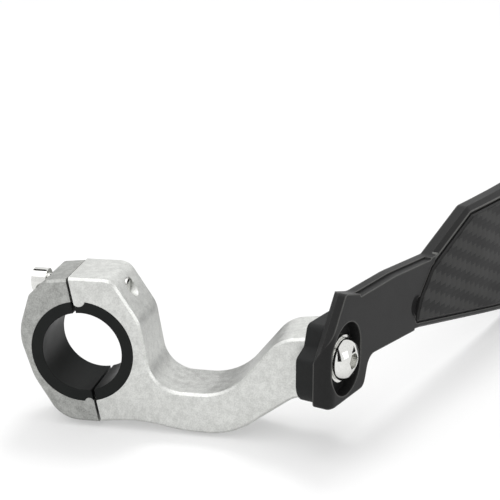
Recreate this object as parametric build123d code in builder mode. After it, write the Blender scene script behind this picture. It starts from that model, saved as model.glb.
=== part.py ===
"""Motorcycle hand guard: cast bar clamp with an S-shaped arm, moulded shield and bar-end fixing.

Millimetres. The origin is the centre of the clamp's bore, +Y runs along the handlebar towards
its end, +X points forward and +Z up.
"""

import os
from math import atan2, cos, hypot, radians, sin, tan

from build123d import *

os.makedirs("parts", exist_ok=True)

# Clearances
fit = 0.05  # seated round pieces and screws in their threads
screw_play = 0.2  # screws in plain holes, on the radius

# Bar clamp
bar_d = 22.2
bush_od = 28.6
bush_gap = 0.9
clamp_width = 18.0
clamp_front = -7.5
clamp_land = 6.5  # metal above the bore at the top, where the screw runs
clamp_heel = 5.8  # metal below the bore at the split
split_tilt = 11.3
split_shift = 0.45
split_gap = 0.7
cast_bevel = 0.7  # broken edges of the castings
arm_lip_r = 1.8  # tooth of the arm between the bush halves
cap_lip_r = 1.3  # tooth of the cap between the bush halves
cap_wall = 3.8  # metal behind the bore
cap_back_r = 14.0
cap_heel_r = 9.0

# Clamp screws
clamp_screw_d = 4.0
clamp_screw_rise = 2.4  # axis above and below the bore
clamp_head_d = 6.5
clamp_head_h = 4.0
clamp_socket = 3.0
clamp_screw_grip = 22.5
thread_flare = 0.8  # flare round the screw's end on the arm's slope
upper_seat_x = -11.7
lower_seat_x = -6.4

# Arm
shield_angle = 19.5  # end face and shield, turned outwards from the bar
arm_reach = 60.0  # bore axis to the end face
arm_wall = 2.0  # metal in front of the bore, where the slope ends
shoulder_x = 8.7  # end of the flat top
shoulder_r = 4.5
valley_top = -9.6
valley_start = 19.6
valley_end = 40.0
valley_near_r = 9.0
valley_far_r = 16.5
crest_run = 9.6  # crest before the arm's end
crest_r = 10.0
belly_bottom = -20.9
belly_start = 41.0
belly_end = 28.0
belly_r = 20.0
heel_run = 14.5
heel_rise = 1.4
tip_top = 8.9
tip_bottom = -8.2

# Spacer block and inner screw
screw_d = 5.0
screw_depth = 8.5
button_d = 11.4
button_h = 3.4
button_socket = 4.0
washer_od = 12.8
washer_t = 1.2
inner_s = 17.3  # inner screw along the shield
inner_z = 3.6
block_t = 6.1
block_near = 8.4
block_far = 31.0
block_top = 12.4
block_foot = -8.6
block_corner = 6.0
block_notch = (4.2, 5.6)  # cut from the near top corner

# Shield
strap_t = 4.7
weave_rise = 0.6  # woven field in front of the straps
weave_bevel = 0.5
weave_inset = 2.3  # woven field from the panel's outline
groove_width = 0.7  # groove round the woven field
groove_depth = 0.7
panel_pocket = 1.6  # hollow behind the panel
pocket_rim = 6.0
straight_s = 105.0  # end of the flat stretch
bow_r = 594.0
bow_turn = 13.5
outer_pad_length = 40.0
pad_near = 6.4
pad_foot = -7.1
neck_top = 19.5
neck_foot = 0.2
panel_top = 25.8
panel_foot = -21.8
outer_top = 18.5
outer_foot = -7.5
panel_bevel = 1.8  # top edge of the panel
foot_bevel = 0.7  # bottom edge of the panel
ledge_t = 2.2  # ledge along the near strap's top
ledge_drop = 0.6
ledge_start = 23.0
ledge_end = 67.0
near_slope = 2.3  # slope behind the near corner, from the front face
near_round = 3.5  # round of the near pad's front edge
hollow_r = 4.2  # scoop where the strap meets the panel
hollow_depth = 1.4
hollow_at = (57.5, 6.2)

# Recess and slot of the inner pad
recess_depth = 3.2
inner_recess = (20.0, 15.2)
inner_slot = (13.0, 7.0)
recess_shift = 1.1  # recess centre towards the near end

# Recess and slot of the outer pad
outer_recess = (30.0, 16.4)
outer_slot = (22.0, 7.0)
outer_back = 20.5  # recess centre from the pad's end

# End bracket
bracket_width = 19.0
bracket_t = 3.0
bracket_tail = 11.0
bracket_rise = 26.0
bracket_lean = 16.0
lean_angle = 14.0
bracket_flange = 27.0
bracket_bend = 4.5
bracket_hole = 4.5
nut_across = 8.0
nut_h = 4.2

# Bar-end fixing
end_screw_d = 8.0
end_head_d = 13.0
end_head_h = 8.0
end_socket = 6.0
end_edge = 11.0  # screw from the flange's end
collar_d = 22.0
collar_h = 6.0
sleeve_d = 17.4
sleeve_length = 22.0
end_nut_across = 13.0
end_nut_h = 6.5

# Directions and planes
bore_r = bush_od / 2
front_face = Plane.XZ.offset(-clamp_front)
screw_y = clamp_front + clamp_width / 2
tip_x = arm_reach / cos(radians(shield_angle))
arm_over = clamp_width / 3  # cut off by the slanted end face
forward = Vector(cos(radians(shield_angle)), -sin(radians(shield_angle)), 0)
along = Vector(sin(radians(shield_angle)), cos(radians(shield_angle)), 0)
face_reach = arm_reach + block_t + strap_t
plan = Plane(origin=forward * face_reach, x_dir=along, z_dir=(0, 0, -1))
far = 200.0  # longer than any cut


def square_on(reach):
    """Plane across the shield's normal: x along the shield, y up."""
    return Plane(origin=forward * reach, x_dir=along, z_dir=forward)


def split_x(height, side):
    """Place of the cap's (-1) or the arm's (+1) split face at a height."""
    slant = radians(split_tilt)
    return split_shift - height * tan(slant) + side * split_gap / 2 / cos(slant)


def off_split(edge):
    """True for the outer edges of a casting, away from the split and the arm's cut end."""
    middle = edge.center()
    return abs(middle.X - split_x(middle.Z, 0)) > split_gap and middle.X < tip_x + arm_over - 0.1


def on_axis(seat):
    """Plane through a seat's axis: x outwards, y along the axis."""
    return Plane(origin=seat.origin, x_dir=seat.x_dir, z_dir=-seat.y_dir)


# Clamp arm: S-shaped casting with half of the bore
arm_top = bore_r + clamp_land
heel = -(bore_r + clamp_heel)
upper_z = bore_r + clamp_screw_rise
wall_x = bore_r + arm_wall
with BuildPart() as clamp_arm:
    with BuildSketch(front_face):
        with BuildLine():
            upper = FilletPolyline(
                (split_x(arm_top, 1), arm_top),
                (shoulder_x, arm_top + 0.2),
                (wall_x, bore_r - 4.9),
                (valley_start, valley_top),
                (valley_end, valley_top),
                (tip_x - crest_run, tip_top - 1.0),
                (tip_x + arm_over, tip_top + 0.7),
                radius=[shoulder_r, valley_near_r, valley_near_r, valley_far_r, crest_r],
            )
            lower = FilletPolyline(
                (tip_x + arm_over, tip_bottom),
                (tip_x - 5.3, tip_bottom),
                (belly_start, belly_bottom),
                (belly_end, belly_bottom),
                (heel_run, heel + heel_rise),
                (split_x(heel, 1), heel),
                radius=[belly_r / 3, belly_r, belly_r * 2, belly_r * 2],
            )
            Line(upper @ 1, lower @ 0)
            Line(lower @ 1, upper @ 0)
        make_face()
    extrude(amount=-clamp_width)
    chamfer(clamp_arm.faces().filter_by(Axis.Y).edges().filter_by(off_split), cast_bevel)
    split(bisect_by=square_on(arm_reach), keep=Keep.BOTTOM)
    with BuildSketch(Plane.XZ):
        Circle(bore_r)
        with Locations((-0.6, bore_r + 0.3)):
            Circle(arm_lip_r, mode=Mode.SUBTRACT)
    extrude(amount=clamp_width, both=True, mode=Mode.SUBTRACT)
    with BuildSketch(Plane.YZ):
        with Locations((screw_y, upper_z), (screw_y, -upper_z)):
            Circle(clamp_screw_d / 2 + fit)
    extrude(amount=lower_seat_x + clamp_screw_grip + 1.0, mode=Mode.SUBTRACT)
    with BuildSketch(Plane.YZ):
        with Locations((screw_y, upper_z), (screw_y, -upper_z)):
            Circle(clamp_screw_d / 2 + fit)
    extrude(amount=-bore_r, mode=Mode.SUBTRACT)
    with BuildSketch(Plane.YZ.offset(upper_seat_x + clamp_screw_grip - 0.5)):
        with Locations((screw_y, upper_z)):
            Circle(clamp_screw_d / 2 + thread_flare)
    extrude(amount=clamp_screw_d, mode=Mode.SUBTRACT)
    with BuildSketch(square_on(arm_reach)):
        with Locations((inner_s, inner_z)):
            Circle(screw_d / 2 + fit)
    extrude(amount=-screw_depth - 1.0, mode=Mode.SUBTRACT)
clamp_arm.part.label = "clamp_arm"
export_step(clamp_arm.part, "parts/clamp_arm.step")

# Clamp cap: thin cast strap round the other half of the bore
cap_top = arm_top - 0.5
with BuildPart() as clamp_cap:
    with BuildSketch(front_face):
        with BuildLine():
            back = FilletPolyline(
                (split_x(cap_top, -1), cap_top),
                (upper_seat_x + 1.8, cap_top - 0.7),
                (upper_seat_x - 3.0, bore_r + 0.7),
                (-bore_r - cap_wall, cap_wall),
                (0.1 - bore_r, 5.9 - bore_r),
                (7.6 - bore_r, heel - 0.2),
                (split_x(heel, -1), heel - 0.2),
                radius=[1.5, 2.0, cap_back_r, cap_back_r, cap_heel_r],
            )
            Line(back @ 1, back @ 0)
        make_face()
    extrude(amount=-clamp_width)
    chamfer(clamp_cap.faces().filter_by(Axis.Y).edges().filter_by(off_split), cast_bevel)
    with BuildSketch(Plane.XZ):
        Circle(bore_r)
        with Locations((split_x(-bore_r, -1) - cap_lip_r, -bore_r - 0.3)):
            Circle(cap_lip_r, mode=Mode.SUBTRACT)
    extrude(amount=clamp_width, both=True, mode=Mode.SUBTRACT)
    with BuildSketch(Plane.YZ):
        with Locations((screw_y, upper_z), (screw_y, -upper_z)):
            Circle(clamp_screw_d / 2 + screw_play)
    extrude(amount=bush_od, both=True, mode=Mode.SUBTRACT)
    for seat_x, height in ((upper_seat_x, upper_z), (lower_seat_x, -upper_z)):
        with BuildSketch(Plane.YZ.offset(seat_x)):
            with Locations((screw_y, height)):
                Circle(clamp_head_d / 2 + screw_play)
        extrude(amount=-bush_od, mode=Mode.SUBTRACT)
clamp_cap.part.label = "clamp_cap"
export_step(clamp_cap.part, "parts/clamp_cap.step")


def clamp_screw(label, seat_x, height):
    """Socket head screw that lies along X, with its head on the cap's seat."""
    with BuildPart() as screw:
        with BuildSketch(Plane.YZ.offset(seat_x)):
            with Locations((screw_y, height)):
                Circle(clamp_screw_d / 2)
        extrude(amount=clamp_screw_grip)
        with BuildSketch(Plane.YZ.offset(seat_x)):
            with Locations((screw_y, height)):
                Circle(clamp_head_d / 2)
        extrude(amount=-clamp_head_h)
        with BuildSketch(Plane.YZ.offset(seat_x - clamp_head_h)):
            with Locations((screw_y, height)):
                RegularPolygon(clamp_socket / 2, 6, major_radius=False)
        extrude(amount=clamp_head_h / 2, mode=Mode.SUBTRACT)
    screw.part.label = label
    export_step(screw.part, f"parts/{label}.step")


clamp_screw("clamp_screw_upper", upper_seat_x, upper_z)
clamp_screw("clamp_screw_lower", lower_seat_x, -upper_z)


def bush_half(label, side):
    """Half of the reducing bush on the arm's (+1) or the cap's (-1) side of the split."""
    middle = bush_gap / 2 * side
    slant = Vector(cos(radians(split_tilt)), 0, sin(radians(split_tilt)))
    cut = Plane(origin=Vector(split_shift, 0, 0) + slant * middle, z_dir=slant * side)
    with BuildPart() as half:
        with BuildSketch(front_face):
            Circle(bore_r - fit)
            Circle(bar_d / 2, mode=Mode.SUBTRACT)
            with Locations((-0.6, bore_r + 0.3)):
                Circle(arm_lip_r + fit, mode=Mode.SUBTRACT)
            with Locations((split_x(-bore_r, -1) - cap_lip_r, -bore_r - 0.3)):
                Circle(cap_lip_r + fit, mode=Mode.SUBTRACT)
        extrude(amount=-clamp_width)
        split(bisect_by=cut, keep=Keep.TOP)
    half.part.label = label
    export_step(half.part, f"parts/{label}.step")


bush_half("bush_half_arm", 1)
bush_half("bush_half_cap", -1)

# Spacer block between the arm's end and the shield
with BuildPart() as spacer_block:
    with BuildSketch(square_on(arm_reach)):
        with BuildLine():
            FilletPolyline(
                (block_near, block_foot),
                (block_far, block_foot),
                (block_far, block_top),
                (block_near + block_notch[0] * 1.4, block_top),
                (block_near + block_notch[0], block_top - block_notch[1]),
                (block_near, block_top - block_notch[1] * 1.4),
                radius=[block_corner, block_corner, block_corner, 2.0, 1.0, 1.5],
                close=True,
            )
        make_face()
        with Locations((inner_s, inner_z)):
            Circle(screw_d / 2 + screw_play, mode=Mode.SUBTRACT)
    extrude(amount=block_t)
spacer_block.part.label = "spacer_block"
export_step(spacer_block.part, "parts/spacer_block.step")


def button_screw(label, seat, length):
    """Button head screw with a hexagon socket, its head on top of the seat plane."""
    head_r = button_d / 2
    with BuildPart() as screw:
        with BuildSketch(on_axis(seat)):
            with BuildLine():
                Polyline(
                    (0, 0),
                    (head_r, 0),
                    (head_r, button_h * 0.25),
                    (head_r * 0.79, button_h * 0.76),
                    (head_r * 0.42, button_h),
                    (0, button_h),
                    close=True,
                )
            make_face()
        revolve(axis=Axis(seat.origin, seat.z_dir))
        with BuildSketch(seat):
            Circle(screw_d / 2)
        extrude(amount=-length)
        with BuildSketch(seat.offset(button_h)):
            RegularPolygon(button_socket / 2, 6, major_radius=False)
        extrude(amount=-button_h * 0.62, mode=Mode.SUBTRACT)
    screw.part.label = label
    export_step(screw.part, f"parts/{label}.step")


def tube(label, seat, outer, inner, length):
    """Washer, collar or sleeve on top of the seat plane."""
    with BuildPart() as ring:
        with BuildSketch(seat):
            Circle(outer / 2)
            Circle(inner / 2, mode=Mode.SUBTRACT)
        extrude(amount=length)
    ring.part.label = label
    export_step(ring.part, f"parts/{label}.step")


def hex_nut(label, seat, across, thread, height):
    """Hexagon nut on top of the seat plane."""
    with BuildPart() as nut:
        with BuildSketch(seat):
            RegularPolygon(across / 2, 6, major_radius=False)
            Circle(thread / 2 + fit, mode=Mode.SUBTRACT)
        extrude(amount=height)
    nut.part.label = label
    export_step(nut.part, f"parts/{label}.step")


recess_floor = face_reach - recess_depth
inner_seat = Plane(
    origin=forward * recess_floor + along * inner_s + Vector(0, 0, inner_z), x_dir=along, z_dir=forward
)
tube("inner_washer", inner_seat, washer_od, screw_d + 2 * screw_play, washer_t)
button_screw("inner_screw", inner_seat.offset(washer_t), recess_floor + washer_t - arm_reach + screw_depth)

# Shield: two straps with their pads and the panel with its raised field, moulded in one
turn = radians(bow_turn)
bow_end_s = straight_s + bow_r * sin(turn)
pad_end_s = bow_end_s + outer_pad_length * cos(turn)


def strip(back, front):
    """Ribbon between two distances from the straps' front face, seen from above."""
    tail = Vector(cos(turn), -sin(turn)) * (outer_pad_length + 10)
    with BuildSketch(plan) as ribbon:
        with BuildLine():
            near_front = Line((0, front), (straight_s, front))
            bow_front = CenterArc((straight_s, -bow_r), bow_r + front, 90, -bow_turn)
            far_front = Line(bow_front @ 1, bow_front @ 1 + tail)
            near_back = Line((0, back), (straight_s, back))
            bow_back = CenterArc((straight_s, -bow_r), bow_r + back, 90, -bow_turn)
            far_back = Line(bow_back @ 1, bow_back @ 1 + tail)
            Line(near_front @ 0, near_back @ 0)
            Line(far_front @ 1, far_back @ 1)
        make_face()
    return ribbon.sketch


def proud(point):
    """Distance of a point in front of the straps' front face."""
    spot = plan.to_local_coords(point)
    past = spot.X - straight_s
    rise = spot.Y + bow_r
    if past <= 0:
        return spot.Y
    if atan2(past, rise) < turn:
        return hypot(past, rise) - bow_r
    return past * sin(turn) + rise * cos(turn) - bow_r


def edges_at(shape, level):
    """Edges of a shape that stay at one distance from the straps' front face."""
    return [
        edge
        for edge in shape.edges()
        if all(abs(proud(edge @ where) - level) < 0.01 for where in (0, 0.3, 0.5, 0.8, 1))
    ]


def seam(edge):
    """True for the upright lines where the flat stretches meet the bow."""
    return edge.geom_type == GeomType.LINE and abs((edge % 0.5).Z) > 0.999


near_bend = (pad_near, 9.4)
near_corner = (15.2, 22.2)
shield_outline = [
    ((pad_near, pad_foot), 1.5),
    ((26.0, pad_foot + 0.3), 2.5),
    ((28.8, neck_foot + 0.9), 4.0),
    ((60.0, neck_foot - 1.5), 30.0),
    ((152.0, panel_foot), 60.0),
    ((198.0, panel_foot), 60.0),
    ((bow_end_s - 2.0, outer_foot), 20.0),
    ((pad_end_s, outer_foot), 12.0),
    ((pad_end_s, outer_top), 12.0),
    ((bow_end_s, outer_top), 15.0),
    ((bow_end_s - 18.0, outer_top - 6.5), 8.0),
    ((bow_end_s - 45.0, panel_top - 3.0), 12.0),
    ((94.2, panel_top), 5.0),
    ((69.4, neck_top - 2.0), 3.0),
    ((44.0, neck_top), 60.0),
    ((24.0, neck_top + 0.2), 10.0),
    (near_corner, 1.5),
    (near_bend, 6.0),
]
panel_region = [
    ((56.4, panel_foot - 5.0), 0.5),
    ((57.0, neck_foot - 0.4), 8.0),
    ((60.0, 7.5), 8.0),
    ((78.0, neck_top + 5.1), 0.5),
    ((78.0, panel_top + 15.0), 0.5),
    ((bow_end_s - 55.0, panel_top + 15.0), 0.5),
    ((bow_end_s - 14.0, panel_foot - 5.0), 0.5),
]
weave_outline = [
    ((57.6, neck_foot + 1.3), 1.2),
    ((152.0, panel_foot + weave_inset), 60.0),
    ((198.0, panel_foot + weave_inset), 60.0),
    ((bow_end_s - 23.0, outer_foot - 4.5), 1.2),
    ((bow_end_s - 42.5, panel_top - weave_inset - 4.0), 2.0),
    ((94.5, panel_top - weave_inset), 2.8),
    ((67.4, neck_top - 5.0), 1.2),
    ((60.0, 7.5), 8.0),
]
ledge_outline = [
    ((ledge_start, neck_top - ledge_drop + 0.2), 0.8),
    ((44.0, neck_top - ledge_drop), 60.0),
    ((ledge_end, neck_top - ledge_drop - 1.8), 0.5),
    ((ledge_end, neck_top + 5.0), 0.5),
    ((ledge_start, neck_top + 5.0), 0.5),
]


def outline_face(corners):
    """Face across the shield, with each corner rounded by its own radius."""
    points = [point for point, radius in corners]
    radii = [radius for point, radius in corners]
    with BuildSketch(square_on(face_reach)) as face:
        with BuildLine():
            FilletPolyline(*points, radius=radii, close=True)
        make_face()
    return face.sketch


def on_outline(edge):
    """True for an edge that lies on the shield's outline seen square on."""
    spot = edge @ 0.5
    flat = spot - forward * (spot.dot(forward) - face_reach)
    return min(rim.distance_to(flat) for rim in whole_face.edges()) < 0.02


whole_face = outline_face(shield_outline)
region_face = outline_face(panel_region)
panel_face = whole_face & region_face
with BuildPart() as panel:
    extrude(strip(-strap_t, 0), amount=far / 2, both=True)
    extrude(panel_face, amount=far, both=True, mode=Mode.INTERSECT)
    rims = [rim for rim in edges_at(panel, 0) if not seam(rim)]
    chamfer([rim for rim in rims if on_outline(rim) and rim.center().Z > 0], panel_bevel)
    rims = [rim for rim in edges_at(panel, 0) if not seam(rim)]
    chamfer([rim for rim in rims if on_outline(rim) and rim.center().Z < 0], foot_bevel)

weave_face = outline_face(weave_outline)
with BuildPart() as weave:
    extrude(strip(-strap_t / 2, weave_rise), amount=far / 2, both=True)
    extrude(weave_face, amount=far, both=True, mode=Mode.INTERSECT)
    chamfer([rim for rim in edges_at(weave, weave_rise) if not seam(rim)], weave_bevel)

with BuildPart() as groove:
    extrude(strip(-groove_depth, 1.0), amount=far / 2, both=True)
    extrude(offset(weave_face, groove_width), amount=far, both=True, mode=Mode.INTERSECT)

with BuildPart() as pocket:
    extrude(strip(-strap_t - 1.0, panel_pocket - strap_t), amount=far / 2, both=True)
    extrude(offset(panel_face, -pocket_rim), amount=far, both=True, mode=Mode.INTERSECT)

with BuildPart() as ledge:
    extrude(strip(-ledge_t, 1.0), amount=far / 2, both=True)
    extrude(outline_face(ledge_outline), amount=far, both=True, mode=Mode.INTERSECT)

# Outer pad: its own plane on the straps' front face
outward = Vector(cos(radians(shield_angle) - turn), -sin(radians(shield_angle) - turn), 0)
pad_along = Vector(sin(radians(shield_angle) - turn), cos(radians(shield_angle) - turn), 0)
pad_middle = (outer_top + outer_foot) / 2
pad_origin = (
    forward * (face_reach - bow_r * (1 - cos(turn)))
    + along * bow_end_s
    + pad_along * (outer_pad_length - outer_back)
    + Vector(0, 0, pad_middle)
)
pad_face = Plane(origin=pad_origin, x_dir=pad_along, z_dir=outward)

# Slope behind the inner pad's near corner
slope_run = Vector(near_corner[0] - near_bend[0], near_corner[1] - near_bend[1]).normalized()
slope_at = forward * (face_reach - near_slope) + along * near_bend[0] + Vector(0, 0, near_bend[1])
slope_out = along * -slope_run.Y + Vector(0, 0, slope_run.X) - forward

with BuildPart() as shield:
    extrude(strip(-strap_t, 0), amount=far / 2, both=True)
    extrude(whole_face, amount=far, both=True, mode=Mode.INTERSECT)
    with BuildSketch(plan):
        with Locations((pad_near, 0)):
            Rectangle(2 * near_round, 2 * near_round)
        with Locations((pad_near + near_round, -near_round)):
            Circle(near_round, mode=Mode.SUBTRACT)
    extrude(amount=far / 2, both=True, mode=Mode.SUBTRACT)
    split(bisect_by=Plane(origin=slope_at, z_dir=slope_out), keep=Keep.BOTTOM)
    with Locations(
        forward * (face_reach + hollow_r - hollow_depth) + along * hollow_at[0] + Vector(0, 0, hollow_at[1])
    ):
        Sphere(hollow_r, mode=Mode.SUBTRACT)
    extrude(region_face, amount=far, both=True, mode=Mode.SUBTRACT)
    add(panel.part)
    add(ledge.part, mode=Mode.SUBTRACT)
    add(groove.part, mode=Mode.SUBTRACT)
    add(weave.part)
    add(pocket.part, mode=Mode.SUBTRACT)
    with BuildSketch(square_on(face_reach)):
        with Locations((inner_s - recess_shift, inner_z + 0.6)):
            SlotOverall(*inner_recess, rotation=90)
    extrude(amount=-recess_depth, mode=Mode.SUBTRACT)
    with BuildSketch(square_on(face_reach)):
        with Locations((inner_s, inner_z)):
            SlotOverall(*inner_slot, rotation=90)
    extrude(amount=-strap_t - 1.0, mode=Mode.SUBTRACT)
    with BuildSketch(pad_face):
        SlotOverall(*outer_recess)
    extrude(amount=-recess_depth, mode=Mode.SUBTRACT)
    with BuildSketch(pad_face):
        SlotOverall(*outer_slot)
    extrude(amount=-strap_t - 1.0, mode=Mode.SUBTRACT)
shield.part.label = "shield"
export_step(shield.part, "parts/shield.step")

# Outer screw, washer and nut
outer_seat = pad_face.offset(-recess_depth)
bracket_seat = pad_face.offset(-strap_t)
nut_seat = pad_face.offset(-strap_t - bracket_t - nut_h)
tube("outer_washer", outer_seat, washer_od, screw_d + 2 * screw_play, washer_t)
outer_grip = strap_t - recess_depth + washer_t + bracket_t + nut_h + 1.5
button_screw("outer_screw", outer_seat.offset(washer_t), outer_grip)
hex_nut("outer_nut", nut_seat, nut_across, screw_d, nut_h)

# End bracket: bent strip from the pad's back up and over the bar's end
lean = radians(lean_angle)
lean_top = (-bracket_lean * sin(lean), bracket_rise + bracket_lean * cos(lean))
side_on = Plane(origin=bracket_seat.origin, x_dir=outward, z_dir=-pad_along)
flange_z = pad_origin.Z + lean_top[1] - bracket_t
flange_back = lean_top[0] - bracket_flange + end_edge
end_axis = bracket_seat.origin + outward * flange_back
end_top = Plane(origin=(end_axis.X, end_axis.Y, flange_z + bracket_t), x_dir=pad_along, z_dir=(0, 0, 1))
end_under = end_top.offset(-bracket_t)
sleeve_top = end_under.offset(-collar_h)
sleeve_end = sleeve_top.offset(-sleeve_length)
with BuildPart() as end_bracket:
    with BuildSketch(side_on):
        with BuildLine():
            FilletPolyline(
                (0, -bracket_tail),
                (0, bracket_rise),
                lean_top,
                (lean_top[0] - bracket_flange, lean_top[1]),
                radius=[bracket_bend * 3, bracket_bend],
            )
            offset(amount=bracket_t, side=Side.LEFT)
        make_face()
    extrude(amount=bracket_width / 2, both=True)
    upright_sides = end_bracket.edges().filter_by(Axis((0, 0, 0), outward)).sort_by(Axis.Z)[:2]
    fillet(upright_sides, bracket_width / 2 - 0.5)
    with BuildSketch(bracket_seat):
        Circle(screw_d / 2 + screw_play)
        with Locations((0, bracket_rise - bracket_bend)):
            Circle(bracket_hole / 2)
    extrude(amount=-bracket_t, mode=Mode.SUBTRACT)
    with BuildSketch(end_top):
        Circle(end_screw_d / 2 + screw_play)
    extrude(amount=-bracket_t, mode=Mode.SUBTRACT)
end_bracket.part.label = "end_bracket"
export_step(end_bracket.part, "parts/end_bracket.step")

# Bar-end fixing under the flange: turned collar, rubber sleeve and the nut that squeezes it
end_hole = end_screw_d + 2 * screw_play
end_grip = bracket_t + collar_h + sleeve_length + end_nut_h
with BuildPart() as bar_end_screw:
    with BuildSketch(end_top):
        Circle(end_head_d / 2)
    extrude(amount=end_head_h)
    with BuildSketch(end_top.offset(end_head_h)):
        RegularPolygon(end_socket / 2, 6, major_radius=False)
    extrude(amount=-end_head_h / 2, mode=Mode.SUBTRACT)
    with BuildSketch(end_top):
        Circle(end_screw_d / 2)
    extrude(amount=-end_grip)
bar_end_screw.part.label = "bar_end_screw"
export_step(bar_end_screw.part, "parts/bar_end_screw.step")
tube("bar_end_spacer", sleeve_top, collar_d, end_hole, collar_h)
tube("expander_sleeve", sleeve_end, sleeve_d, end_hole, sleeve_length)
hex_nut("expander_nut", sleeve_end.offset(-end_nut_h), end_nut_across, end_screw_d, end_nut_h)
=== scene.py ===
"""Studio scene of a motorcycle hand guard: cast bar clamp, moulded shield and bar-end fixing.

Every length that is typed here is in millimetres and goes to Blender's metres through MM.
"""

from __future__ import annotations

import logging
import math
from abc import ABC, abstractmethod
from dataclasses import dataclass, replace
from enum import Enum, IntEnum
from typing import Any, Dict, List, Sequence, Tuple

import bpy
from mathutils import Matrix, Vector


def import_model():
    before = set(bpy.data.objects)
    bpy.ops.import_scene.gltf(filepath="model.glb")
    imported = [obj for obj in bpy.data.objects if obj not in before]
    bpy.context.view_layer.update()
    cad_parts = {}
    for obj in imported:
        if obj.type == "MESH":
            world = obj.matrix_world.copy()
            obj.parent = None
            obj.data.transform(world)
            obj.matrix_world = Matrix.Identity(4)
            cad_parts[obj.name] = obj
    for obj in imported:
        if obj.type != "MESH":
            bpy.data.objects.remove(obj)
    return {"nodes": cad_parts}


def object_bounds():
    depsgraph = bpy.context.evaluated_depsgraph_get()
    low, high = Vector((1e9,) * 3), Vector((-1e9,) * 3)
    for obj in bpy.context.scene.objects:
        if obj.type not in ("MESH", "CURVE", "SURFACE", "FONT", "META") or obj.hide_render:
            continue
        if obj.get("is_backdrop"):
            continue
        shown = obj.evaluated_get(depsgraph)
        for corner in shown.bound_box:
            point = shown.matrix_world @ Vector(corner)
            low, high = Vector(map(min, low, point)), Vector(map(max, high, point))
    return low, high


Point = Tuple[float, float, float]
Linear = Tuple[float, float, float, float]
Socket = bpy.types.NodeSocket

LOG = logging.getLogger("hand_guard")
MM = 0.001
QUAD = (0, 1, 2, 3)

# Noise detail of the fine grain and of the slow clouds.
GRAIN_DETAIL = 3.0
BLOTCH_DETAIL = 4.0
# Span of the two summed noises over which the tone goes from the shade to the base colour.
TONE_LOW = 0.75
TONE_HIGH = 1.25
# Openness just inside an edge where the painted edge highlight starts, and where it is full.
HIGHLIGHT_START = 0.9
HIGHLIGHT_FULL = 0.55
HIGHLIGHT_SAMPLES = 12
ROUND_SAMPLES = 6
GRAIN_STRENGTH = 0.6
TOW_STRENGTH = 0.5
# Turn that brings a camera from looking straight down to looking level.
LEVEL_DEG = 90.0


class MixInput(IntEnum):
    """Inputs of a Mix node by number, because its floats, vectors and colours share their names."""

    FACTOR = 0
    FLOAT_A = 2
    FLOAT_B = 3
    VECTOR_A = 4
    VECTOR_B = 5
    COLOUR_A = 6
    COLOUR_B = 7


class MixResult(IntEnum):
    """Outputs of a Mix node by number."""

    FLOAT = 0
    VECTOR = 1
    COLOUR = 2


def linear(hex_code: str) -> Linear:
    """Turn an sRGB hex value into linear colour.

    Args:
        hex_code: Six hexadecimal digits, with or without a leading hash.

    Returns:
        Red, green, blue and an alpha of one.
    """
    digits = hex_code.lstrip("#")
    channels = [int(digits[i:i + 2], 16) / 255 for i in (0, 2, 4)]
    red, green, blue = (c / 12.92 if c <= 0.04045 else ((c + 0.055) / 1.055) ** 2.4 for c in channels)
    return red, green, blue, 1.0


WHITE = linear("#ffffff")


def add(
    tree: bpy.types.NodeTree,
    kind: str,
    links: Dict[Any, Any] | None = None,
    **settings: Any,
) -> bpy.types.Node:
    """Add a node with its settings, values and links.

    Args:
        tree: Node tree that receives the node.
        kind: Node type without the ShaderNode prefix.
        links: Input name or number to a value, or to the output socket that feeds it.
        **settings: Node properties, such as an operation.

    Returns:
        The new node.
    """
    node = tree.nodes.new("ShaderNode" + kind)
    for name, value in settings.items():
        setattr(node, name, value)
    for key, value in (links or {}).items():
        if isinstance(value, bpy.types.NodeSocket):
            tree.links.new(value, node.inputs[key])
        else:
            node.inputs[key].default_value = value
    return node


def empty_material(name: str) -> bpy.types.Material:
    """Give a node material with no nodes in it.

    Args:
        name: Name of the material.

    Returns:
        The material, whose tree is ready to be filled.
    """
    material = bpy.data.materials.new(name)
    material.use_nodes = True
    material.node_tree.nodes.clear()
    return material


def per_metre(size_mm: float) -> float:
    """Give a texture scale that repeats once in a real size in millimetres."""
    return 1.0 / (size_mm * MM)


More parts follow.
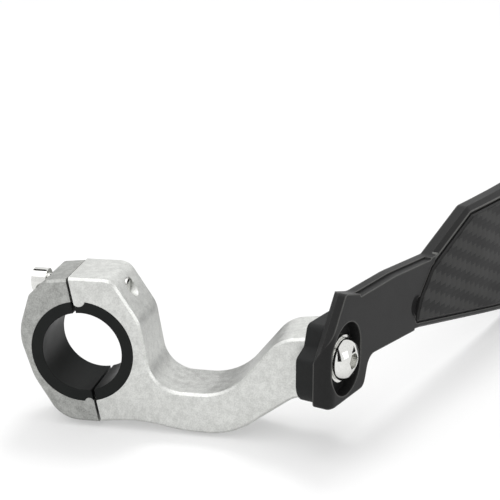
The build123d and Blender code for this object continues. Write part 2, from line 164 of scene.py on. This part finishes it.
@dataclass(frozen=True)
class Finish:
    """A surface: base colours, gloss and the grain that breaks it up, and an optional painted highlight
    along its convex edges.
    """

    name: str
    base: str
    shade: str
    roughness: float
    metallic: float = 0.0
    ior: float = 1.5
    specular: float = 0.5
    grain_mm: float = 0.6
    blotch_mm: float = 6.0
    grain_height_mm: float = 0.02
    roughness_swing: float = 0.08
    edge_mm: float = 0.4
    # Colour of a painted highlight along convex edges, and how far in from the edge it reaches; empty for
    # none.
    edge_highlight: str = ""
    edge_reach_mm: float = 0.5

    def make(self) -> bpy.types.Material:
        """Build the node material.

        Returns:
            The material, ready to be put in a slot.
        """
        material = empty_material(self.name)
        tree = material.node_tree
        place = add(tree, "TexCoord").outputs["Object"]
        shader = add(tree, "BsdfPrincipled", {
            "Metallic": self.metallic, "IOR": self.ior, "Specular IOR Level": self.specular,
        })
        self.dress(tree, place, shader)
        output = add(tree, "OutputMaterial", {"Surface": shader.outputs["BSDF"]})
        output.is_active_output = True
        return material

    def dress(self, tree: bpy.types.NodeTree, place: Socket, shader: bpy.types.Node) -> None:
        """Feed colour, roughness and bump from a fine grain and a slow blotch, over softened edges.

        Args:
            tree: Node tree of the material.
            place: Object coordinates.
            shader: Principled shader that receives the links.
        """
        grain = add(tree, "TexNoise", {
            "Vector": place, "Scale": per_metre(self.grain_mm), "Detail": GRAIN_DETAIL,
        }).outputs["Fac"]
        blotch = add(tree, "TexNoise", {
            "Vector": place, "Scale": per_metre(self.blotch_mm), "Detail": BLOTCH_DETAIL,
        }).outputs["Fac"]
        tree.links.new(self.tone(tree, grain, blotch), shader.inputs["Base Color"])
        rough = add(tree, "MapRange", {
            "Value": blotch,
            "To Min": self.roughness - self.roughness_swing,
            "To Max": self.roughness + self.roughness_swing,
        })
        tree.links.new(rough.outputs[0], shader.inputs["Roughness"])
        edge = add(tree, "Bevel", {"Radius": self.edge_mm * MM}, samples=ROUND_SAMPLES)
        bump = add(tree, "Bump", {
            "Height": grain,
            "Strength": GRAIN_STRENGTH,
            "Distance": self.grain_height_mm * MM,
            "Normal": edge.outputs["Normal"],
        })
        tree.links.new(bump.outputs["Normal"], shader.inputs["Normal"])

    def tone(self, tree: bpy.types.NodeTree, grain: Socket, blotch: Socket) -> Socket:
        """Mix the two colours by the noises, and lay a painted highlight along the convex edges if there is
        one.

        Args:
            tree: Node tree of the material.
            grain: Fine noise.
            blotch: Slow noise.

        Returns:
            The surface's colour.
        """
        both = add(tree, "Math", {0: grain, 1: blotch}, operation="ADD")
        level = add(tree, "MapRange", {
            "Value": both.outputs[0], "From Min": TONE_LOW, "From Max": TONE_HIGH,
        })
        mixed = add(tree, "Mix", {
            MixInput.FACTOR: level.outputs[0],
            MixInput.COLOUR_A: linear(self.shade),
            MixInput.COLOUR_B: linear(self.base),
        }, data_type="RGBA").outputs[MixResult.COLOUR]
        if not self.edge_highlight:
            return mixed
        # Painted highlight: where occlusion from inside finds a convex edge, the colour turns towards the
        # highlight tone.
        inside = add(tree, "AmbientOcclusion", {"Distance": self.edge_reach_mm * MM},
                     inside=True, only_local=True, samples=HIGHLIGHT_SAMPLES)
        highlighted = add(tree, "MapRange", {
            "Value": inside.outputs["AO"], "From Min": HIGHLIGHT_START, "From Max": HIGHLIGHT_FULL,
        })
        return add(tree, "Mix", {
            MixInput.FACTOR: highlighted.outputs[0],
            MixInput.COLOUR_A: mixed,
            MixInput.COLOUR_B: linear(self.edge_highlight),
        }, data_type="RGBA").outputs[MixResult.COLOUR]


# The grains of moulded, blasted, turned and polished surfaces are finer in life than the 0.3 to 0.8 mm
# given here. They are drawn that coarse so that they show, and shallow so that they stay quiet.

# Sand-cast aluminium, tumbled: pale silver grey, dull, with darker clouds where the stones missed.
CAST_ALUMINIUM = Finish(
    "cast_aluminium_tumbled", "#dddedb", "#c4c5c2", roughness=0.44, metallic=1.0,
    grain_mm=0.4, blotch_mm=1.7, grain_height_mm=0.06, roughness_swing=0.12, edge_mm=0.2,
)
# The same casting on the clamp cap, a shade darker as painted shade, duller, and with wider clouds.
CAST_ALUMINIUM_SHADED = replace(
    CAST_ALUMINIUM, name="cast_aluminium_tumbled_painted_shade", base="#b6b7b4", shade="#929390", roughness=0.48,
    blotch_mm=2.0,
)
# Turned and polished stainless steel: bright, with the room mirrored in it.
STAINLESS = Finish(
    "stainless_steel_polished", "#e4e4e1", "#d5d5d2", roughness=0.1, metallic=1.0,
    grain_mm=0.4, blotch_mm=4.0, grain_height_mm=0.003, roughness_swing=0.04, edge_mm=0.3,
)
# Injection-moulded polyamide with a spark-eroded grain: dark grey satin.
BUSH_POLYAMIDE = Finish(
    "polyamide_bush_moulded", "#171918", "#121413", roughness=0.42, ior=1.53, specular=0.12,
    grain_mm=0.5, grain_height_mm=0.02,
)
# The same polyamide from a rougher mould: duller, with a coarser grain.
SPACER_POLYAMIDE = Finish(
    "polyamide_spacer_moulded", "#191a1a", "#131414", roughness=0.6, ior=1.53, specular=0.2,
    grain_mm=0.6, grain_height_mm=0.03,
)
# Rolled aluminium strip, bent and bead blasted: even pale grey with a soft sheen.
STRIP_ALUMINIUM = Finish(
    "aluminium_strip_blasted", "#c2c3c2", "#adaead", roughness=0.38, metallic=1.0,
    grain_mm=0.5, blotch_mm=9.0, grain_height_mm=0.01,
)
# Turned aluminium bar: brighter and glossier than the strip.
TURNED_ALUMINIUM = Finish(
    "aluminium_bar_turned", "#cdcecd", "#babbba", roughness=0.28, metallic=1.0,
    grain_mm=0.3, blotch_mm=6.0, grain_height_mm=0.008,
)
# Moulded nitrile rubber: near black, quite matt.
SLEEVE_RUBBER = Finish(
    "nitrile_rubber_moulded", "#1c1c1c", "#151515", roughness=0.75, ior=1.52, specular=0.25,
    grain_mm=0.8, grain_height_mm=0.03,
)


@dataclass(frozen=True)
class DomedFinish(Finish):
    """A polished finish on a button head, with a dome's round in place of the bands of its solid.

    The head sits at seat_mm and faces along +X, turned by face_turn_deg towards -Y. The dome lies
    between the flat round the socket, brow_mm from the axis, and the rim, rim_mm above the seat.
    """

    seat_mm: Point = (0.0, 0.0, 0.0)
    face_turn_deg: float = 0.0
    dome_r_mm: float = 6.5
    brow_mm: float = 2.4
    rim_mm: float = 0.85

    def dress(self, tree: bpy.types.NodeTree, place: Socket, shader: bpy.types.Node) -> None:
        """Feed the polished grain, and turn the normals of the head's bands into a dome's.

        Args:
            tree: Node tree of the material.
            place: Object coordinates.
            shader: Principled shader that receives the links.
        """
        Finish.dress(self, tree, place, shader)
        turn = math.radians(self.face_turn_deg)
        axis = (math.cos(turn), -math.sin(turn), 0.0)
        seat = [length * MM for length in self.seat_mm]
        radius = self.dome_r_mm * MM
        from_seat = add(tree, "VectorMath", {0: place, 1: seat}, operation="SUBTRACT").outputs[0]
        height = add(tree, "VectorMath", {0: from_seat, 1: axis}, operation="DOT_PRODUCT").outputs["Value"]
        lift = add(tree, "VectorMath", {0: axis, "Scale": height}, operation="SCALE").outputs[0]
        out = add(tree, "VectorMath", {0: from_seat, 1: lift}, operation="SUBTRACT").outputs[0]
        reach = add(tree, "VectorMath", {0: out}, operation="LENGTH").outputs["Value"]
        square = add(tree, "Math", {0: reach, 1: reach}, operation="MULTIPLY").outputs[0]
        fall = add(tree, "Math", {0: radius * radius, 1: square}, operation="SUBTRACT").outputs[0]
        rise = add(tree, "Math", {0: fall}, operation="SQRT").outputs[0]
        up = add(tree, "VectorMath", {0: axis, "Scale": rise}, operation="SCALE").outputs[0]
        summed = add(tree, "VectorMath", {0: out, 1: up}, operation="ADD").outputs[0]
        dome = add(tree, "VectorMath", {0: summed}, operation="NORMALIZE").outputs[0]
        past_brow = add(tree, "Math", {0: reach, 1: self.brow_mm * MM}, operation="GREATER_THAN").outputs[0]
        above_rim = add(tree, "Math", {0: height, 1: self.rim_mm * MM}, operation="GREATER_THAN").outputs[0]
        banded = add(tree, "Math", {0: past_brow, 1: above_rim}, operation="MULTIPLY").outputs[0]
        normal = add(tree, "Mix", {
            MixInput.FACTOR: banded,
            MixInput.VECTOR_A: shader.inputs["Normal"].links[0].from_socket,
            MixInput.VECTOR_B: dome,
        }, data_type="VECTOR")
        tree.links.new(normal.outputs[MixResult.VECTOR], shader.inputs["Normal"])


# The same steel on the two button heads, domed on a lathe and brighter still.
INNER_BUTTON = DomedFinish(
    "stainless_steel_inner_button", "#e4e4e1", "#d5d5d2", roughness=0.08, metallic=1.0,
    grain_mm=0.4, blotch_mm=4.0, grain_height_mm=0.003, roughness_swing=0.03, edge_mm=0.2,
    seat_mm=(70.63, -6.66, 3.6), face_turn_deg=19.5,
)
OUTER_BUTTON = replace(
    INNER_BUTTON, name="stainless_steel_outer_button", seat_mm=(132.66, 231.12, 5.5), face_turn_deg=6.0,
)


@dataclass(frozen=True)
class WovenShieldFinish(Finish):
    """Moulded polypropylene whose raised field carries an imitation twill weave.

    The shield's front faces along +X, turned by face_turn_deg towards -Y, and lies face_mm out from
    the origin. It is flat for flat_mm and then bows back on a radius of bow_mm. The weave lies where
    the field stands proud_mm off that front, up to end_mm past the flat stretch.
    """

    tow_run_mm: float = 3.6
    tow_rise_mm: float = 1.55
    tow_height_mm: float = 0.03
    tow_dark: str = "#010101"
    tow_light: str = "#232322"
    twill_repeat: int = 4
    twill_float: int = 2
    face_turn_deg: float = 19.5
    face_mm: float = 70.8
    flat_mm: float = 105.0
    bow_mm: float = 594.0
    proud_mm: float = 0.6
    proud_slack_mm: float = 0.08
    end_mm: float = 130.0

    def steps(self) -> Dict[str, Tuple[Any, ...]]:
        """List the arithmetic that leads from a point's place to its tow, in order.

        Returns:
            Each result's name, with its operation and the numbers or earlier results that go in.
        """
        return {
            "along": ("MULTIPLY", "along_m", 1 / MM),
            "out": ("MULTIPLY", "out_m", 1 / MM),
            "height": ("MULTIPLY", "height_m", 1 / MM),
            "past_flat": ("SUBTRACT", "along", self.flat_mm),
            "on_flat": ("MINIMUM", "past_flat", 0.0),
            "on_bow": ("MAXIMUM", "past_flat", 0.0),
            "rise": ("ADD", "out", self.bow_mm - self.face_mm),
            "on_bow_square": ("MULTIPLY", "on_bow", "on_bow"),
            "rise_square": ("MULTIPLY", "rise", "rise"),
            "reach_square": ("ADD", "on_bow_square", "rise_square"),
            "reach": ("SQRT", "reach_square"),
            "proud": ("SUBTRACT", "reach", self.bow_mm),
            "off_field": ("SUBTRACT", "proud", self.proud_mm),
            "off_either_way": ("ABSOLUTE", "off_field"),
            "level": ("LESS_THAN", "off_either_way", self.proud_slack_mm),
            "angle": ("ARCTAN2", "on_bow", "rise"),
            "bend": ("MULTIPLY", "angle", self.bow_mm),
            "run": ("ADD", "bend", "on_flat"),
            "short_of_end": ("LESS_THAN", "run", self.end_mm),
            "woven": ("MULTIPLY", "level", "short_of_end"),
            "tows_along": ("DIVIDE", "run", self.tow_run_mm),
            "tows_up": ("DIVIDE", "height", self.tow_rise_mm),
            "column": ("FLOOR", "tows_along"),
            "row": ("FLOOR", "tows_up"),
            "diagonal": ("ADD", "column", "row"),
            "phase": ("FLOORED_MODULO", "diagonal", self.twill_repeat),
            "warp": ("LESS_THAN", "phase", self.twill_float),
            "part_along": ("FRACT", "tows_along"),
            "part_up": ("FRACT", "tows_up"),
            "arc_along": ("MULTIPLY", "part_along", math.pi),
            "arc_up": ("MULTIPLY", "part_up", math.pi),
            "crown_along": ("SINE", "arc_along"),
            "crown_up": ("SINE", "arc_up"),
        }

    def measure(self, tree: bpy.types.NodeTree, place: Socket) -> Dict[str, Socket]:
        """Work out where a point lies on the shield and in the weave.

        Args:
            tree: Node tree of the material.
            place: Object coordinates.

        Returns:
            The results of the steps by name.
        """
        turn = math.radians(self.face_turn_deg)
        directions = {
            "along_m": (math.sin(turn), math.cos(turn), 0.0),
            "out_m": (math.cos(turn), -math.sin(turn), 0.0),
            "height_m": (0.0, 0.0, 1.0),
        }
        found: Dict[Any, Socket] = {}
        for name, direction in directions.items():
            dot = add(tree, "VectorMath", {0: place, 1: direction}, operation="DOT_PRODUCT")
            found[name] = dot.outputs["Value"]
        for name, (operation, *inputs) in self.steps().items():
            fed = {number: found.get(value, value) for number, value in enumerate(inputs)}
            found[name] = add(tree, "Math", fed, operation=operation).outputs[0]
        return found

    def dress(self, tree: bpy.types.NodeTree, place: Socket, shader: bpy.types.Node) -> None:
        """Feed the plain moulded grain, and the twill on the raised field alone.

        Args:
            tree: Node tree of the material.
            place: Object coordinates.
            shader: Principled shader that receives the links.
        """
        Finish.dress(self, tree, place, shader)
        found = self.measure(tree, place)
        weave = add(tree, "Mix", {
            MixInput.FACTOR: found["warp"],
            MixInput.COLOUR_A: linear(self.tow_dark),
            MixInput.COLOUR_B: linear(self.tow_light),
        }, data_type="RGBA")
        tone = add(tree, "Mix", {
            MixInput.FACTOR: found["woven"],
            MixInput.COLOUR_A: shader.inputs["Base Color"].links[0].from_socket,
            MixInput.COLOUR_B: weave.outputs[MixResult.COLOUR],
        }, data_type="RGBA")
        tree.links.new(tone.outputs[MixResult.COLOUR], shader.inputs["Base Color"])
        crown = add(tree, "Mix", {
            MixInput.FACTOR: found["warp"],
            MixInput.FLOAT_A: found["crown_up"],
            MixInput.FLOAT_B: found["crown_along"],
        }, data_type="FLOAT")
        relief = add(tree, "Math", {0: crown.outputs[MixResult.FLOAT], 1: found["woven"]},
                     operation="MULTIPLY")
        bump = add(tree, "Bump", {
            "Height": relief.outputs[0],
            "Strength": TOW_STRENGTH,
            "Distance": self.tow_height_mm * MM,
            "Normal": shader.inputs["Normal"].links[0].from_socket,
        })
        tree.links.new(bump.outputs["Normal"], shader.inputs["Normal"])


# Injection-moulded polypropylene: charcoal satin, with a painted highlight along its edges. The weave is
# cut into the mould where the raised field is, so it shows there as fine dark and light tows.
SHIELD_POLYPROPYLENE = WovenShieldFinish(
    "polypropylene_shield_moulded", "#222222", "#1d1d1d", roughness=0.46, ior=1.49, specular=0.125,
    grain_mm=0.5, blotch_mm=14.0, grain_height_mm=0.012, edge_highlight="#5a5a58",
)


class Assembly(ABC):
    """Pieces of the guard that share a place, each with its finish."""

    title: str

    @abstractmethod
    def finishes(self) -> Dict[str, Finish]:
        """Say which piece has which finish."""

    def dress(self, nodes: Dict[str, bpy.types.Object], made: Dict[str, bpy.types.Material]) -> None:
        """Give each piece its material.

        Args:
            nodes: Pieces of the frame by name.
            made: Materials by finish name, filled as they are needed.
        """
        for node, finish in self.finishes().items():
            if finish.name not in made:
                made[finish.name] = finish.make()
            piece = nodes[node]
            piece.data.materials.clear()
            piece.data.materials.append(made[finish.name])
            LOG.info("%s: %s is %s", self.title, node, finish.name)


@dataclass(frozen=True)
class BarClamp(Assembly):
    """Split clamp on its S-shaped arm, with the reducing bush and the two screws that close it."""

    title: str = "bar clamp"
    arm: Finish = CAST_ALUMINIUM
    # The cap's darker casting colour is painted shade.
    cap: Finish = CAST_ALUMINIUM_SHADED
    screw: Finish = STAINLESS
    bush: Finish = BUSH_POLYAMIDE

    def finishes(self) -> Dict[str, Finish]:
        """Say which piece has which finish.

        Returns:
            Finish by the name of its piece.
        """
        return {
            "clamp_arm": self.arm,
            "clamp_cap": self.cap,
            "clamp_screw_upper": self.screw,
            "clamp_screw_lower": self.screw,
            "bush_half_arm": self.bush,
            "bush_half_cap": self.bush,
        }


@dataclass(frozen=True)
class Shield(Assembly):
    """Moulded shield, with the block that sets it off the arm and the fasteners at its two pads."""

    title: str = "shield"
    moulding: Finish = SHIELD_POLYPROPYLENE
    spacer: Finish = SPACER_POLYAMIDE
    inner_button: Finish = INNER_BUTTON
    outer_button: Finish = OUTER_BUTTON
    fastener: Finish = STAINLESS

    def finishes(self) -> Dict[str, Finish]:
        """Say which piece has which finish.

        Returns:
            Finish by the name of its piece.
        """
        return {
            "shield": self.moulding,
            "spacer_block": self.spacer,
            "inner_screw": self.inner_button,
            "inner_washer": self.fastener,
            "outer_screw": self.outer_button,
            "outer_washer": self.fastener,
            "outer_nut": self.fastener,
        }


@dataclass(frozen=True)
class BarEnd(Assembly):
    """Bent bracket and the expanding fixing that holds it in the bar's end."""

    title: str = "bar end"
    bracket: Finish = STRIP_ALUMINIUM
    collar: Finish = TURNED_ALUMINIUM
    sleeve: Finish = SLEEVE_RUBBER
    fastener: Finish = STAINLESS

    def finishes(self) -> Dict[str, Finish]:
        """Say which piece has which finish.

        Returns:
            Finish by the name of its piece.
        """
        return {
            "end_bracket": self.bracket,
            "bar_end_screw": self.fastener,
            "bar_end_spacer": self.collar,
            "expander_sleeve": self.sleeve,
            "expander_nut": self.fastener,
        }


class LampRole(Enum):
    """What a soft box does for the picture."""

    KEY = "key"
    FILL = "fill"
    TOP = "top"
    BACK = "back"
    EDGE = "edge"


class LampReach(Enum):
    """Whether a soft box lights colour and gloss alike, or only one of them."""

    WHOLE = "whole"
    COLOUR = "colour"
    GLOSS = "gloss"


@dataclass(frozen=True)
class SoftBox:
    """Square area lamp that looks at the guard's middle."""

    role: LampRole
    place_mm: Point
    side_mm: float
    watts: float
    reach: LampReach = LampReach.WHOLE

    def build(self, target: Vector) -> None:
        """Add the lamp.

        Args:
            target: Point that the lamp faces, in metres.
        """
        data = bpy.data.lights.new(self.role.value, "AREA")
        data.energy = self.watts
        data.size = self.side_mm * MM
        lamp = bpy.data.objects.new(self.role.value, data)
        bpy.context.scene.collection.objects.link(lamp)
        lamp.visible_glossy = self.reach is not LampReach.COLOUR
        lamp.visible_diffuse = self.reach is not LampReach.GLOSS
        lamp.location = Vector(self.place_mm) * MM
        lamp.rotation_euler = (target - lamp.location).to_track_quat("-Z", "Y").to_euler()


@dataclass(frozen=True)
class Flag:
    """Upright dark card that shows in reflections alone, so that bright metal gets a dark accent."""

    name: str
    foot_mm: Point
    turn_deg: float
    width_mm: float
    height_mm: float

    def build(self, material: bpy.types.Material) -> None:
        """Stand the card up, hidden from the camera and from the lamps.

        Args:
            material: Finish of the card.
        """
        turn = math.radians(self.turn_deg)
        half = Vector((math.cos(turn), math.sin(turn), 0)) * self.width_mm / 2
        rise = Vector((0, 0, self.height_mm))
        foot = Vector(self.foot_mm)
        corners = [foot - half, foot + half, foot + half + rise, foot - half + rise]
        mesh = bpy.data.meshes.new(self.name)
        mesh.from_pydata([corner * MM for corner in corners], [], [QUAD])
        mesh.materials.append(material)
        card = bpy.data.objects.new(self.name, mesh)
        bpy.context.scene.collection.objects.link(card)
        card.visible_camera = False
        card.visible_diffuse = False
        card.visible_shadow = False
        card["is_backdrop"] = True


@dataclass(frozen=True)
class Studio:
    """White table, soft lamps, dark cards and the camera at the photograph's angle.

    The table glows by floor_glow where the shadow lies, up to shadow_mm from the guard, and fully from
    white_mm on. The back lamp throws the guard's shadow towards the camera, and the edge lamp gives the
    bright line along the arm's sloping edge.
    """

    floor_mm: float = -21.85
    floor_side_mm: float = 6000.0
    floor_tone: str = "#e6e6e6"
    floor_glow: float = 0.35
    shadow_mm: float = 420.0
    white_mm: float = 840.0
    card_tone: str = "#1a1a1a"
    world_level: float = 0.72
    camera_mm: Point = (121.92, -366.91, 149.02)
    azimuth_deg: float = 11.885
    elevation_deg: float = 17.691
    lens_mm: float = 108.0
    sensor_mm: float = 36.0
    near_mm: float = 10.0
    lamps: Sequence[SoftBox] = (
        SoftBox(LampRole.KEY, place_mm=(-400.0, -660.0, 1800.0), side_mm=1800.0, watts=9.0),
        SoftBox(LampRole.FILL, place_mm=(-200.0, -1900.0, 1040.0), side_mm=1900.0, watts=12.0,
                reach=LampReach.COLOUR),
        SoftBox(LampRole.TOP, place_mm=(0.0, 600.0, 1800.0), side_mm=1600.0, watts=9.0),
        SoftBox(LampRole.BACK, place_mm=(60.0, 900.0, 1590.0), side_mm=500.0, watts=10.0,
                reach=LampReach.COLOUR),
        SoftBox(LampRole.EDGE, place_mm=(1300.0, -520.0, 480.0), side_mm=700.0, watts=3.0,
                reach=LampReach.GLOSS),
    )
    flags: Sequence[Flag] = (
        Flag("flag_back", foot_mm=(-4.0, 60.0, -8.0), turn_deg=0.0, width_mm=72.0, height_mm=24.0),
        Flag("flag_side", foot_mm=(432.0, 279.0, -21.0), turn_deg=126.0, width_mm=260.0, height_mm=110.0),
        Flag("flag_near", foot_mm=(145.0, -134.0, 0.0), turn_deg=30.0, width_mm=40.0, height_mm=360.0),
        Flag("flag_cap", foot_mm=(-54.0, 40.0, 60.0), turn_deg=0.0, width_mm=44.0, height_mm=90.0),
    )

    def build(self, target: Vector) -> None:
        """Set up the table, the light and the camera.

        Args:
            target: Middle of the guard, in metres.
        """
        bpy.context.scene.view_settings.view_transform = "Standard"
        self.build_floor()
        self.build_world()
        for lamp in self.lamps:
            lamp.build(target)
        self.build_flags()
        self.build_camera()

    @staticmethod
    def seen(tree: bpy.types.NodeTree) -> Socket:
        """Tell what the camera sees, also in mirrors and through glass, from what only gives light.

        Args:
            tree: Node tree of the table or of the world.

        Returns:
            One for what is seen, and nought for the rest.
        """
        path = add(tree, "LightPath").outputs
        mirrored = add(tree, "Math", {0: path["Is Camera Ray"], 1: path["Is Glossy Ray"]},
                       operation="MAXIMUM")
        return add(tree, "Math", {0: mirrored.outputs[0], 1: path["Is Transmission Ray"]},
                   operation="MAXIMUM").outputs[0]

    def build_floor(self) -> None:
        """Lay a matt white table that keeps the guard's shadow and fades to plain white beyond it."""
        half = self.floor_side_mm * MM / 2
        level = self.floor_mm * MM
        corners = [(x, y, level) for x, y in ((-half, -half), (half, -half), (half, half), (-half, half))]
        mesh = bpy.data.meshes.new("table")
        mesh.from_pydata(corners, [], [QUAD])
        table = bpy.data.objects.new("table", mesh)
        bpy.context.scene.collection.objects.link(table)
        # Matt white laminate: even and without gloss, so only the shadow shows on it.
        material = empty_material("laminate_table_matt_white")
        tree = material.node_tree
        matt = add(tree, "BsdfDiffuse", {"Color": linear(self.floor_tone)})
        glow = add(tree, "Emission", {"Color": WHITE, "Strength": 1.0})
        reach = add(tree, "VectorMath", {0: add(tree, "TexCoord").outputs["Object"]}, operation="LENGTH")
        fade = add(tree, "MapRange", {
            "Value": reach.outputs["Value"],
            "From Min": self.shadow_mm * MM,
            "From Max": self.white_mm * MM,
            "To Min": self.floor_glow,
            "To Max": 1.0,
        })
        share = add(tree, "Math", {0: self.seen(tree), 1: fade.outputs[0]}, operation="MULTIPLY")
        mixed = add(tree, "MixShader", {0: share.outputs[0], 1: matt.outputs[0], 2: glow.outputs[0]})
        add(tree, "OutputMaterial", {"Surface": mixed.outputs[0]})
        mesh.materials.append(material)
        table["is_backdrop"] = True

    def build_world(self) -> None:
        """Surround the table with even white light."""
        world = bpy.data.worlds.new("studio")
        bpy.context.scene.world = world
        world.use_nodes = True
        tree = world.node_tree
        tree.nodes.clear()
        level = add(tree, "MapRange", {"Value": self.seen(tree), "To Min": self.world_level, "To Max": 1.0})
        light = add(tree, "Background", {"Color": WHITE, "Strength": level.outputs[0]})
        add(tree, "OutputWorld", {"Surface": light.outputs[0]})

    def build_flags(self) -> None:
        """Stand up the dark cards."""
        # Matt black card: dark and without gloss of its own.
        material = empty_material("card_matt_black")
        matt = add(material.node_tree, "BsdfDiffuse", {"Color": linear(self.card_tone)})
        add(material.node_tree, "OutputMaterial", {"Surface": matt.outputs[0]})
        for flag in self.flags:
            flag.build(material)

    def build_camera(self) -> None:
        """Put the camera where the photograph was taken from."""
        data = bpy.data.cameras.new("camera")
        data.sensor_width = self.sensor_mm
        data.lens = self.lens_mm
        data.clip_start = self.near_mm * MM
        camera = bpy.data.objects.new("camera", data)
        bpy.context.scene.collection.objects.link(camera)
        camera.location = Vector(self.camera_mm) * MM
        tilt = math.radians(LEVEL_DEG - self.elevation_deg)
        camera.rotation_euler = (tilt, 0, math.radians(self.azimuth_deg))
        bpy.context.scene.camera = camera


def main() -> None:
    """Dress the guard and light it."""
    logging.basicConfig(level=logging.INFO, format="%(message)s")
    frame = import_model()
    cad_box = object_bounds()
    made: Dict[str, bpy.types.Material] = {}
    for assembly in (BarClamp(), Shield(), BarEnd()):
        assembly.dress(frame["nodes"], made)
    low, high = (Vector(corner) for corner in cad_box)
    Studio().build((low + high) / 2)


if __name__ == "__main__":
    main()
